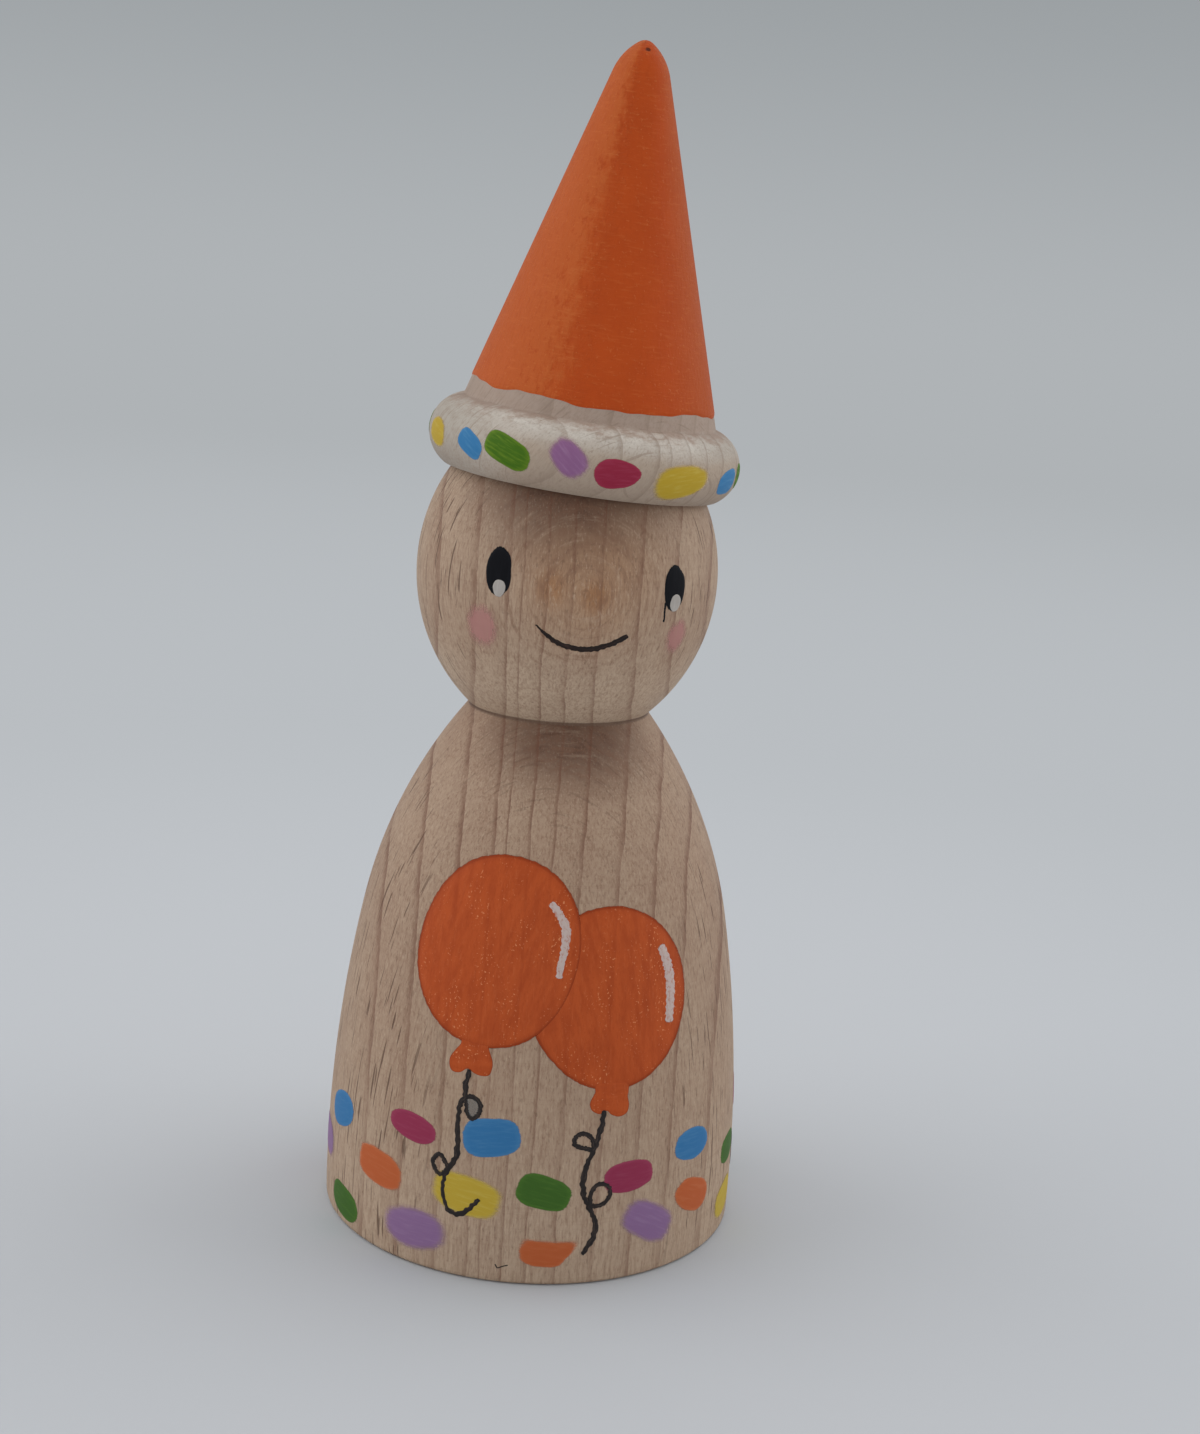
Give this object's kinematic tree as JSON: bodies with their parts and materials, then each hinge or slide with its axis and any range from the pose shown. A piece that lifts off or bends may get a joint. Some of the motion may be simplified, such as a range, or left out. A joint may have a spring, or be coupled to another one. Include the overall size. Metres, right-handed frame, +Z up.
{
  "type": "peg doll",
  "caption": "Standing turned wooden peg doll with a painted smiling face, painted balloons and confetti, and a tall pointed hat with a rolled brim that lifts off.",
  "frame": {"origin": "centre of the flat base, on the surface the doll stands on", "axes": "+Z up along the peg's turned axis, -Y out of the middle of the face, +X towards the doll's left hand side"},
  "size_m": [0.0402, 0.0402, 0.1107],
  "materials": {
    "peg_wood": "bare turned beech, fine sanded, waxed matt",
    "hat_wood": "thin white wash over turned beech, matt",
    "orange_paint": "dried acrylic film, satin",
    "blue_paint": "dried acrylic film, matt",
    "yellow_paint": "dried acrylic film, matt",
    "green_paint": "dried acrylic film, matt",
    "magenta_paint": "dried acrylic film, matt",
    "lilac_paint": "dried acrylic film, matt",
    "black_paint": "dried ink and paint line, matt",
    "white_paint": "thin dried acrylic highlight, matt",
    "pink_paint": "thin dried acrylic wash, matt"
  },
  "bodies": {
    "peg": {"peg": "peg_wood", "eyes": "black_paint", "eye_glints": "white_paint", "blush": "pink_paint", "smile": "black_paint", "balloon_left": "orange_paint", "balloon_right": "orange_paint", "balloon_shines": "white_paint", "string_left": "black_paint", "string_right": "black_paint", "confetti_blue": "blue_paint", "confetti_magenta": "magenta_paint", "confetti_orange": "orange_paint", "confetti_green": "green_paint", "confetti_lilac": "lilac_paint", "confetti_yellow": "yellow_paint"},
    "hat": {"hat": "hat_wood", "cone_paint": "orange_paint", "brim_dabs_yellow": "yellow_paint", "brim_dabs_blue": "blue_paint", "brim_dabs_green": "green_paint", "brim_dabs_lilac": "lilac_paint", "brim_dabs_magenta": "magenta_paint"}
  },
  "joints": [
    {"name": "hat_lift", "type": "slide", "parent": "peg", "child": "hat", "axis": [0.0808, -0.0327, 0.9962], "range_m": [0, 0.02]}
  ]
}
